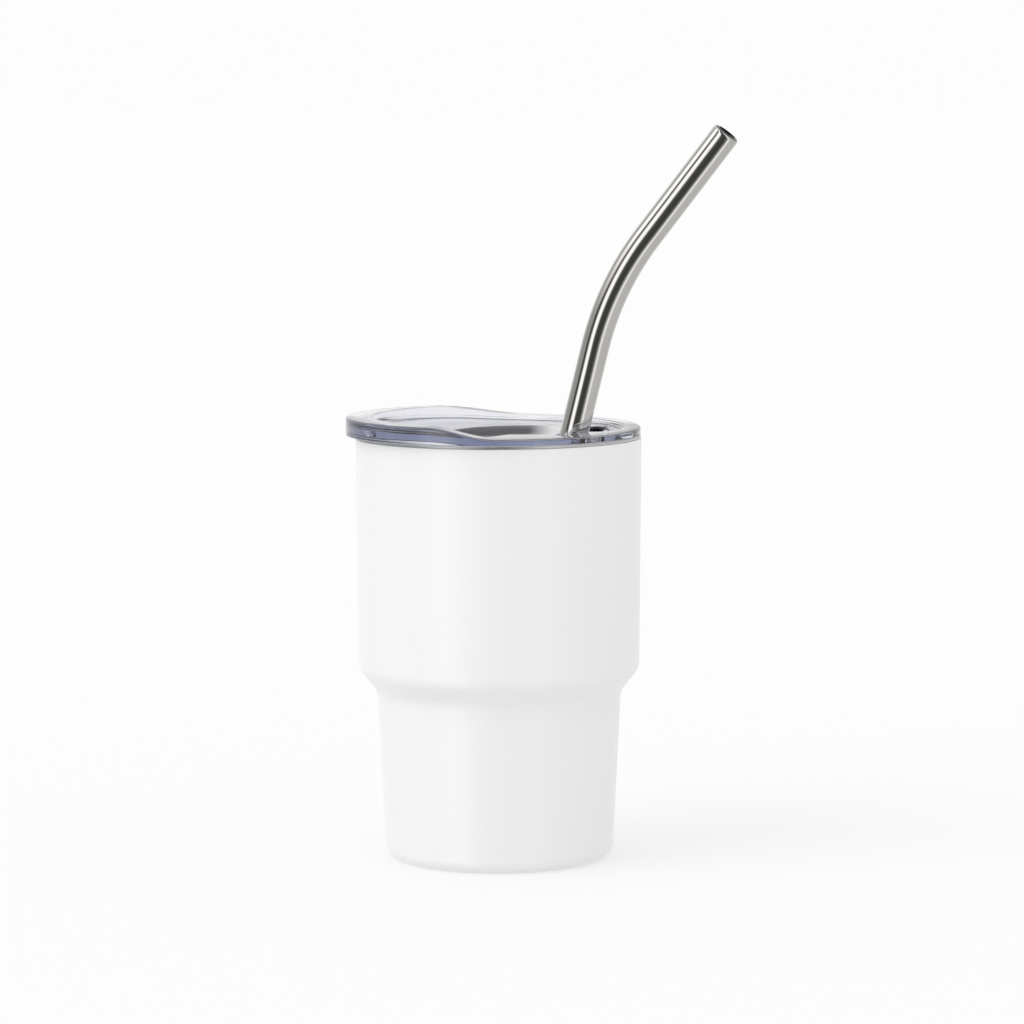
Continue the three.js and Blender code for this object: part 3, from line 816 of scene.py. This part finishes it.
@dataclass
class Lid:
    """Clear press-in lid and the silicone ring in its groove."""

    underside: float = 89.43 * MM
    plug_bottom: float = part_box("lid_body")[0][2]
    flange_radius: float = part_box("lid_body")[1][1]
    flange_offset: float = 1.1 * MM
    lip_top: float = 93.25 * MM
    sip_top: float = 91.13 * MM
    recess_radius: float = 26.35 * MM
    floor_high: float = 91.15 * MM
    floor_low: float = 90.35 * MM
    floor_wall: float = 1.3 * MM
    plug_radius: float = 27.3 * MM
    plug_wall: float = 2.1 * MM
    groove_depth: float = 0.9 * MM
    groove_top: float = 87.6 * MM
    groove_bottom: float = 85.0 * MM
    bowl_angle: float = math.radians(74)
    bowl_slope: float = 1.15
    recess_edge: float = 0.28 * MM
    top_edge: float = 0.55 * MM
    bottom_edge: float = 0.2 * MM
    dish: float = 0.26 * MM
    crown: float = 0.07 * MM
    straw_hole: tuple[float, float, float] = (15.48 * MM, -11.96 * MM, 3.45 * MM)
    slot: tuple[float, float, float, float] = (20.5 * MM, 2.0 * MM, 2.5 * MM, 4.0 * MM)
    vent: tuple[float, float, float] = (-19.35 * MM, 0.0, 1.0 * MM)
    hole_edge: float = 0.3 * MM
    slot_edge: float = 0.62 * MM
    pole_row: float = 0.4 * MM
    columns: int = 360
    angle: np.ndarray = field(init=False)
    top: Wave = field(init=False)
    recess_floor: Wave = field(init=False)

    def __post_init__(self) -> None:
        """Works out the column angles and the two wave-shaped levels."""
        self.angle = (np.arange(self.columns) + 0.5) * FULL_TURN / self.columns
        self.top = Wave(self.lip_top, self.sip_top)
        self.recess_floor = Wave(self.floor_high, self.floor_low, -0.002, -0.002)

    def outline_radius(self) -> np.ndarray:
        """Returns the flange's edge as a distance from the cup's axis at each column.

        The edge is a circle of radius R whose middle lies e towards -X, so the distance is
        e cos p + sqrt(R^2 - e^2 sin^2 p), where p is the angle from -X.
        """
        turn = self.angle - math.pi
        across = self.flange_offset * np.sin(turn)
        return self.flange_offset * np.cos(turn) + np.sqrt(self.flange_radius ** 2 - across ** 2)

    def section(self, distance: np.ndarray, level: np.ndarray) -> np.ndarray:
        """Returns grid points from distances and levels that may be one per row or per grid point."""
        rows = max(distance.shape[0], level.shape[0])
        r = np.broadcast_to(distance, (rows, self.columns))
        z = np.broadcast_to(level, (rows, self.columns))
        return np.stack([r * np.cos(self.angle), r * np.sin(self.angle), z], -1)

    def over(self, wave: Wave, distance: np.ndarray) -> np.ndarray:
        """Returns a wave's level under grid distances."""
        return wave.at(distance * np.cos(self.angle), distance * np.sin(self.angle))

    def floor_level(self, distance: np.ndarray) -> np.ndarray:
        """Returns the recess floor's level, which sags towards the middle by 1 - (r / R)^2 of the dish."""
        sag = self.dish * (1 - (distance / self.recess_radius) ** 2)
        return self.over(self.recess_floor, distance) - sag

    def ceiling_rows(self) -> np.ndarray:
        """Returns the plug's ceiling, from near its middle out to its corner and round it."""
        fillet = 0.9 * MM
        hollow = self.plug_radius - self.plug_wall
        out = np.linspace(self.pole_row, hollow - fillet, 52)[:, None] * np.ones(self.columns)
        flat = self.section(out, self.floor_level(out) - self.floor_wall)
        turn = np.linspace(0, math.pi / 2, 8)[1:, None]
        bend = hollow - fillet + fillet * np.sin(turn) * np.ones(self.columns)
        level = self.floor_level(bend) - self.floor_wall - fillet * (1 - np.cos(turn))
        return np.concatenate([flat, self.section(bend, level)])

    def plug_rows(self) -> np.ndarray:
        """Returns the plug's inner wall, lower edge and outer wall with its groove, going round it."""
        inner, outer = self.plug_radius - self.plug_wall, self.plug_radius
        deep, small, edge = outer - self.groove_depth, 0.12 * MM, 0.6 * MM
        start, end = self.plug_bottom + 2 * MM, outer + 1.2 * MM
        corners = [
            (inner, start, 0.0),
            (inner, self.plug_bottom, edge),
            (outer, self.plug_bottom, edge),
            (outer, self.groove_bottom, small),
            (deep, self.groove_bottom, small),
            (deep, self.groove_top, small),
            (outer, self.groove_top, small),
            (outer, self.underside, 0.35 * MM),
            (end, self.underside, 0.0),
        ]
        outline = rounded(corners, 6)
        return self.section(outline[:, :1], outline[:, 1:])

    def flange_rows(self) -> np.ndarray:
        """Returns the flange's underside, its rounded wall and its top in to the recess's edge.

        The top stands proud by the crown times 1 - (2 t - 1)^2, with t from 0 to 1 on the way in.
        """
        rim = self.outline_radius()
        turn = np.linspace(0, math.pi / 2, 9)[:, None]
        low_r = rim - self.bottom_edge * (1 - np.sin(turn))
        low = self.section(low_r, self.underside + self.bottom_edge * (1 - np.cos(turn)))
        high_r = rim - self.top_edge * (1 - np.cos(turn))
        high_z = self.over(self.top, high_r) - self.top_edge * (1 - np.sin(turn))
        share = np.linspace(0, 1, 7)[1:-1, None]
        wall_z = low[-1, :, 2] + share * (high_z[0] - low[-1, :, 2])
        wall = self.section(rim[None] + 0 * share, wall_z)
        inner = self.recess_radius + self.recess_edge * math.sin(self.bowl_angle)
        inwards = np.linspace(0, 1, 12)[1:-1, None]
        across = high_r[-1] + inwards * (inner - high_r[-1])
        crown = self.crown * (1 - (2 * inwards - 1) ** 2)
        border = self.section(across, self.over(self.top, across) + crown)
        return np.concatenate([low, wall, self.section(high_r, high_z), border])

    def recess_rows(self) -> np.ndarray:
        """Returns the recess's rounded edge, its bowl-shaped wall and its floor in to the middle.

        The wall is part of an ellipse: with t from 0 at the edge to 1 at the floor and w the angle
        that it has left to turn, its place across is sin w and its drop is 1 - cos w.
        """
        radius, edge, steep = self.recess_radius, self.recess_edge, self.bowl_angle
        turn = np.linspace(0, steep, 7)[:, None]
        round_r = radius + edge * (math.sin(steep) - np.sin(turn)) * np.ones(self.columns)
        round_z = self.over(self.top, round_r) - edge * (1 - np.cos(turn))
        at_edge = np.full((1, self.columns), radius)
        floor_edge = self.floor_level(at_edge)
        reach = self.bowl_slope * (round_z[-1:] - floor_edge)
        left = np.linspace(steep, 0, 13)[1:, None]
        bowl_r = radius - reach * (1 - np.sin(left) / math.sin(steep))
        blend = (1 - np.cos(left)) / (1 - math.cos(steep))
        bowl_floor = self.floor_level(bowl_r)
        bowl_z = bowl_floor + blend * (round_z[-1:] - floor_edge)
        share = np.linspace(0, 1, 56)[1:, None]
        floor_r = bowl_r[-1] + share * (self.pole_row - bowl_r[-1])
        floor = self.section(floor_r, self.floor_level(floor_r))
        return np.concatenate([self.section(round_r, round_z), self.section(bowl_r, bowl_z), floor])

    def hole_cutter(self, name: str, place: tuple[float, float], radius: float, flare: float,
                    stretch: float = 0.0) -> bpy.types.Object:
        """Builds the cutter of one hole, flared so that it leaves rounded edges.

        Args:
            name: The cutter's name.
            place: The hole's middle.
            radius: Radius of the hole or of a slot's ends.
            flare: Radius of its rounded edges, at most half the floor's thickness.
            stretch: Half the distance between a slot's ends.

        Returns:
            A closed object that passes right through the floor.
        """
        sag = self.dish * (1 - (math.hypot(*place) / self.recess_radius) ** 2)
        top = float(self.recess_floor.at(np.array(place[0]), np.array(place[1]))) - sag
        bottom = top - self.floor_wall
        flared = math.radians(104)
        turn = np.linspace(math.pi, flared, 7)
        arc = np.stack([radius + flare * (1 + np.cos(turn)), top - flare * (1 - np.sin(turn))], -1)
        lead = flared - math.pi / 2
        run = 0.25 * MM
        beyond = arc[-1] + run * np.array([[math.cos(lead), math.sin(lead)]])
        over = np.array([[beyond[0, 0], top + MM], [0.0, top + MM]])
        upper = np.vstack([arc, beyond, over])
        lower = np.stack([upper[:, 0], top + bottom - upper[:, 1]], -1)
        outline = np.vstack([lower[::-1], upper])
        return revolve(outline, SMALL_ROUND, place, stretch).build(name)

    def body(self) -> bpy.types.Object:
        """Builds the lid's body, with its straw hole, sip slot and vent."""
        rows = np.concatenate([self.ceiling_rows(), self.plug_rows(), self.flange_rows(), self.recess_rows()])
        middle = float(self.recess_floor.at(np.array(0.0), np.array(0.0))) - self.dish
        poles = (np.array([0, 0, middle - self.floor_wall]), np.array([0, 0, middle]))
        body = Surface(rows, poles).build("lid")
        cut_away(body, [
            self.hole_cutter("straw_hole", self.straw_hole[:2], self.straw_hole[2], self.hole_edge),
            self.hole_cutter("sip_slot", self.slot[:2], self.slot[2], self.slot_edge, self.slot[3]),
            self.hole_cutter("vent", self.vent[:2], self.vent[2], self.hole_edge),
        ])
        return dress(body, "lid", "lid_body", CLEAR_PLASTIC)

    def ring(self) -> bpy.types.Object:
        """Builds the silicone ring: a flat back in the groove and two round ribs on the mouth's side.

        The outer side bulges by a rib's height times the square of sin(2 pi t) over its height.
        """
        (_, _, low), (outer, _, high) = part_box("lid_gasket")
        slack, taller, rib = 0.05 * MM, 0.2 * MM, 0.55 * MM
        inner = self.plug_radius - self.groove_depth + slack
        low, high = low - taller, high + taller
        t = np.linspace(0, 1, 33)
        bulge = outer - rib + rib * np.sin(FULL_TURN * t) ** 2
        side = np.stack([bulge, low + (high - low) * t], -1)
        back = np.array([[inner, high], [inner, low]])
        return add_piece(revolve(np.vstack([side, back])), "seal", "seal_ring", "lid_gasket", SILICONE)

    def build(self) -> None:
        """Builds the lid and its ring."""
        self.body()
        self.ring()


# ---- straw --------------------------------------------------------------------------------
@dataclass
class Straw:
    """Bent steel straw: straight, one long bend, straight, with rounded open ends."""

    entry: tuple[float, float, float] = (15.66 * MM, -11.995 * MM, 90.35 * MM)
    heading: float = math.radians(-14)
    lean: float = math.radians(13.95)
    tip_lean: float = math.radians(37.8)
    above_lid: float = 18.6 * MM
    bend_radius: float = 61.4 * MM
    mouth_length: float = 27.0 * MM
    radius: float = 2.95 * MM
    wall: float = 0.5 * MM
    roll: float = 0.75 * MM
    foot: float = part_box("straw")[0][2]
    columns: int = 64
    step: float = 0.9 * MM

    def directions(self) -> tuple[np.ndarray, np.ndarray]:
        """Returns the level way that the straw leans, and the level way square to it."""
        along, aside = math.cos(self.heading), math.sin(self.heading)
        return np.array([along, aside, 0.0]), np.array([-aside, along, 0.0])

    def lengths(self) -> tuple[float, float, float]:
        """Returns the lengths below the lid, of the whole lower straight, and of the bend."""
        end_height = self.foot + self.radius * math.sin(self.lean)
        below = (self.entry[2] - end_height) / math.cos(self.lean)
        return below, below + self.above_lid, self.bend_radius * (self.tip_lean - self.lean)

    def centre_line(self, run: np.ndarray) -> tuple[np.ndarray, np.ndarray]:
        """Follows the straw's centre line.

        The lean is constant, then grows by run / bend radius, then is constant, and the sideways and
        upward travel are its sine and cosine summed along the way: (cos a0 - cos a) R and
        (sin a - sin a0) R over the bend.

        Args:
            run: Distances along the centre line from the foot.

        Returns:
            The points, and the lean at each.
        """
        below, straight, bend = self.lengths()
        first = np.minimum(run, straight) - below
        on_bend = np.clip(run - straight, 0, bend)
        last = np.maximum(run - straight - bend, 0)
        lean = self.lean + on_bend / self.bend_radius
        side = first * math.sin(self.lean) + last * np.sin(lean)
        side += self.bend_radius * (math.cos(self.lean) - np.cos(lean))
        rise = first * math.cos(self.lean) + last * np.cos(lean)
        rise += self.bend_radius * (np.sin(lean) - math.sin(self.lean))
        heading, _ = self.directions()
        return np.array(self.entry) + side[:, None] * heading + rise[:, None] * UP, lean

    def rolled_end(self) -> np.ndarray:
        """Returns a rolled-in end as (distance from the centre line, height above the roll's middle).

        The wall turns a quarter round a middle, with its outside at the roll's radius and its inside
        at that less the wall, and ends in a half-round nose that points at the centre line.
        """
        middle, inside = self.radius - self.roll, self.roll - self.wall
        quarter = np.linspace(0, math.pi / 2, 10)
        nose = np.linspace(math.pi / 2, 3 * math.pi / 2, 9)[1:-1]
        outer_arc = np.stack([middle + self.roll * np.cos(quarter), self.roll * np.sin(quarter)], -1)
        nose_middle, nose_radius = self.roll - self.wall / 2, self.wall / 2
        tip = np.stack([middle + nose_radius * np.cos(nose), nose_middle + nose_radius * np.sin(nose)], -1)
        back = quarter[::-1]
        inner_arc = np.stack([middle + inside * np.cos(back), inside * np.sin(back)], -1)
        return np.vstack([outer_arc, tip, inner_arc])

    def section_outline(self, total: float) -> np.ndarray:
        """Returns the tube's wall as (distance from the centre line, run), closed on itself."""
        count = int(total / self.step)
        out = np.linspace(self.roll, total - self.roll, count)[1:-1]
        end = self.rolled_end()
        far = np.stack([end[:, 0], total - self.roll + end[:, 1]], -1)
        near = np.stack([end[::-1, 0], self.roll - end[::-1, 1]], -1)
        outside = np.stack([np.full(count - 2, self.radius), out], -1)
        inside = np.stack([np.full(count - 2, self.radius - self.wall), out[::-1]], -1)
        return np.vstack([outside, far, inside, near])

    def build(self) -> bpy.types.Object:
        """Builds the straw by carrying its wall's outline along the centre line."""
        _, straight, bend = self.lengths()
        outline = self.section_outline(straight + bend + self.mouth_length)
        run = outline[:, 1]
        middle, lean = self.centre_line(run)
        angle = (np.arange(self.columns) + 0.5) * FULL_TURN / self.columns
        heading, across = self.directions()
        side = np.cos(lean)[:, None] * heading - np.sin(lean)[:, None] * UP
        spoke = np.cos(angle)[None, :, None] * side[:, None] + np.sin(angle)[None, :, None] * across
        points = middle[:, None] + outline[:, :1, None] * spoke
        # The grain's first two numbers are zero on the tube's inside, where the finish paints shade into the
        # bore.
        outside = (outline[:, :1] > self.radius - self.wall / 2).astype(float)
        grain = np.empty_like(points)
        grain[..., 0], grain[..., 1] = outside * np.cos(angle), outside * np.sin(angle)
        grain[..., 2] = run[:, None]
        return add_piece(Surface(points, (), grain), "straw_tube", "straw", "straw", TUBE_STEEL)


# ---- studio -------------------------------------------------------------------------------
@dataclass
class Panel:
    """One upright stretch of the light tent, as seen from the cup.

    Attributes:
        bearing: Its middle, in degrees to the right of the camera.
        light: How bright it is.
    """

    bearing: float
    light: float


@dataclass
class Studio:
    """Plain pale floor, white surroundings, one broad soft light, and the camera.

    A light tent, which only clear and shiny surfaces show, stands round the cup. The tent_radius,
    upper_from and gap fields are metres: the lower panels give way to the upper ones between the
    two heights of upper_from, and the gap's softness is given for its left, right, low and high edge.
    """

    surroundings: float = 0.982
    floor_colour: Colour = (0.40, 0.40, 0.40)
    floor_glow: float = 0.529
    floor_radius: float = 20.0
    floor_thickness: float = 0.01
    sun_strength: float = 0.79
    sun_spread: float = math.radians(50)
    sun_from: tuple[float, float, float] = (-0.80, -0.43, 0.70)
    tent_radius: float = 1.6
    tent_colour: Colour = (1.0, 0.995, 0.985)
    brightest: float = 1.6
    upper_from: tuple[float, float] = (0.45, 0.85)
    gap_sides: tuple[float, float] = (-0.016, 0.012)
    gap_heights: tuple[float, float] = (0.196, 0.268)
    gap_soft: tuple[float, float, float, float] = (0.026, 0.013, 0.006, 0.012)
    gap_colour: Colour = (0.065, 0.065, 0.07)
    clear_bounces: int = 24
    gloss_bounces: int = 12
    camera_place: tuple[float, float, float] = (2.79 * MM, -851.8 * MM, 160.95 * MM)
    camera_dip: float = math.radians(5.9)
    camera_roll: float = math.radians(-0.15)
    focal_length: float = 143.1

    def upper_panels(self) -> list[Panel]:
        """Returns the tent's upper panels, from behind the cup on the left round to behind it."""
        return [
            Panel(-180, 0.95), Panel(-145, 0.9), Panel(-130, 0.5), Panel(-114, 0.55), Panel(-98, 1.6),
            Panel(-78, 1.6), Panel(-67, 0.12), Panel(-58, 0.14), Panel(-47, 1.6), Panel(-36, 1.6),
            Panel(-25, 0.08), Panel(-4, 0.03), Panel(10, 0.05), Panel(22, 0.4), Panel(34, 1.0),
            Panel(50, 0.75), Panel(120, 0.7), Panel(140, 0.85), Panel(160, 0.95), Panel(180, 0.95),
        ]

    def lower_panels(self) -> list[Panel]:
        """Returns the tent's lower panels in the same order, with less light from the left."""
        return [
            Panel(-180, 1.0), Panel(-160, 1.0), Panel(-140, 0.8), Panel(-128, 0.5), Panel(-104, 0.42),
            Panel(-86, 0.44), Panel(-73, 0.08), Panel(-61, 0.1), Panel(-50, 1.5), Panel(-37, 1.6),
            Panel(-25, 0.1), Panel(-6, 0.06), Panel(12, 0.08), Panel(24, 0.45), Panel(35, 1.35),
            Panel(50, 0.7), Panel(120, 0.66), Panel(140, 0.75), Panel(160, 0.95), Panel(180, 0.95),
        ]

    def camera(self) -> None:
        """Puts the camera in front, a little above the lid and tipped down."""
        data = bpy.data.cameras.new("camera")
        data.lens, data.sensor_width = self.focal_length, 36.0
        data.clip_start, data.clip_end = 0.01, 100.0
        camera = make_object("camera", data)
        camera.location = self.camera_place
        camera.rotation_mode = "XYZ"
        camera.rotation_euler = (math.pi / 2 - self.camera_dip, 0.0, 0.0)
        camera.rotation_euler.rotate_axis("Z", self.camera_roll)
        bpy.context.scene.camera = camera

    def floor(self) -> None:
        """Lays the pale floor, which glows as if lit from below and which mirrors don't show."""
        edge, under = self.floor_radius, -self.floor_thickness
        outline = np.array([[0.0, under], [edge, under], [edge, 0.0], [0.0, 0.0]])
        floor = revolve(outline, SMALL_ROUND).build("floor")
        sheet = NodeSheet("pale_floor")
        sheet.set(Base_Color=(*self.floor_colour, 1.0), Roughness=1.0, Specular_IOR_Level=0.0)
        sheet.set(Emission_Color=(1.0, 1.0, 1.0, 1.0), Emission_Strength=self.floor_glow)
        floor.data.materials.append(sheet.material)
        floor.visible_glossy = False

    def bearing_share(self, sheet: NodeSheet, parts: bpy.types.Node) -> Socket:
        """Returns a place's bearing as 0 to 1, from behind the cup on the left round to behind it."""
        ahead = sheet.number("MULTIPLY", parts.outputs["Y"], -1.0)
        return sheet.share(sheet.number("ARCTAN2", parts.outputs["X"], ahead), -math.pi, math.pi)

    def panel_light(self, sheet: NodeSheet, share: Socket,
                    panels: list[Panel]) -> Socket:
        """Returns the panels' tinted light at a bearing, as a share of the brightest light."""
        ramp = sheet.add("ShaderNodeValToRGB")
        sheet.join(share, ramp.inputs["Fac"])
        stops = ramp.color_ramp.elements
        while len(stops) < len(panels):
            stops.new(0.5)
        for stop, panel in zip(stops, panels):
            stop.position = panel.bearing / 360 + 0.5
            stop.color = (*[c * panel.light / self.brightest for c in self.tent_colour], 1.0)
        return ramp.outputs["Color"]

    def gap_shade(self, sheet: NodeSheet, parts: bpy.types.Node) -> Socket:
        """Returns 1 inside the narrow dark gap behind the cup and 0 outside, with soft edges."""
        (left, right), (low, high) = self.gap_sides, self.gap_heights
        soft_left, soft_right, soft_low, soft_high = self.gap_soft
        x, y, z = (parts.outputs[axis] for axis in "XYZ")
        edges = [
            sheet.share(x, left - soft_left, left), sheet.share(x, right + soft_right, right),
            sheet.share(z, low - soft_low, low), sheet.share(z, high + soft_high, high),
        ]
        shade = sheet.share(y, 0.0, soft_left)
        for edge in edges:
            shade = sheet.number("MULTIPLY", shade, edge)
        return shade

    def tent(self) -> None:
        """Sets up the tent of bright and dark panels that only clear and shiny surfaces show."""
        angle = np.linspace(-math.pi / 2, math.pi / 2, 24)
        outline = self.tent_radius * np.stack([np.cos(angle), np.sin(angle)], -1)
        outline[[0, -1], 0] = 0.0
        tent = revolve(outline, SMALL_ROUND).build("light_tent")
        sheet = NodeSheet("tent_panels")
        parts = sheet.add("ShaderNodeSeparateXYZ")
        sheet.join(sheet.place(), parts.inputs[0])
        share = self.bearing_share(sheet, parts)
        high = sheet.share(parts.outputs["Z"], *self.upper_from)
        lower = self.panel_light(sheet, share, self.lower_panels())
        upper = self.panel_light(sheet, share, self.upper_panels())
        dark = sheet.tinted(self.gap_shade(sheet, parts), sheet.tinted(high, lower, upper), self.gap_colour)
        light = sheet.add("ShaderNodeEmission", Strength=self.brightest)
        sheet.join(dark, light.inputs["Color"])
        sheet.join(light.outputs[0], sheet.tree.nodes["Material Output"].inputs["Surface"])
        tent.data.materials.append(sheet.material)
        tent.visible_camera = tent.visible_diffuse = tent.visible_shadow = False

    def lights(self) -> None:
        """Lights the surroundings evenly and adds one broad soft light from the upper left.

        Light may bounce often enough to pass through all of the clear lid's surfaces.
        """
        world = bpy.data.worlds.new("white_surroundings")
        world.use_nodes = True
        background = world.node_tree.nodes["Background"]
        background.inputs["Color"].default_value = (1.0, 1.0, 1.0, 1.0)
        background.inputs["Strength"].default_value = self.surroundings
        bpy.context.scene.world = world
        data = bpy.data.lights.new("soft_key", "SUN")
        data.energy, data.angle = self.sun_strength, self.sun_spread
        key = make_object("soft_key", data)
        direction = Vector(self.sun_from)
        key.rotation_mode = "QUATERNION"
        key.rotation_quaternion = direction.to_track_quat("Z", "Y")
        scene = bpy.context.scene
        scene.view_settings.view_transform = "Standard"
        scene.cycles.max_bounces = scene.cycles.transmission_bounces = self.clear_bounces
        scene.cycles.glossy_bounces = self.gloss_bounces

    def build(self) -> None:
        """Sets up the camera, the floor and the light."""
        self.camera()
        self.floor()
        self.tent()
        self.lights()


def main() -> None:
    """Builds the studio and every sub-assembly, in order, and reports each piece."""
    logging.basicConfig(level=logging.INFO, format="%(name)s: %(message)s")
    Studio().build()
    CupBody().build()
    Lid().build()
    Straw().build()


if __name__ == "__main__":
    main()
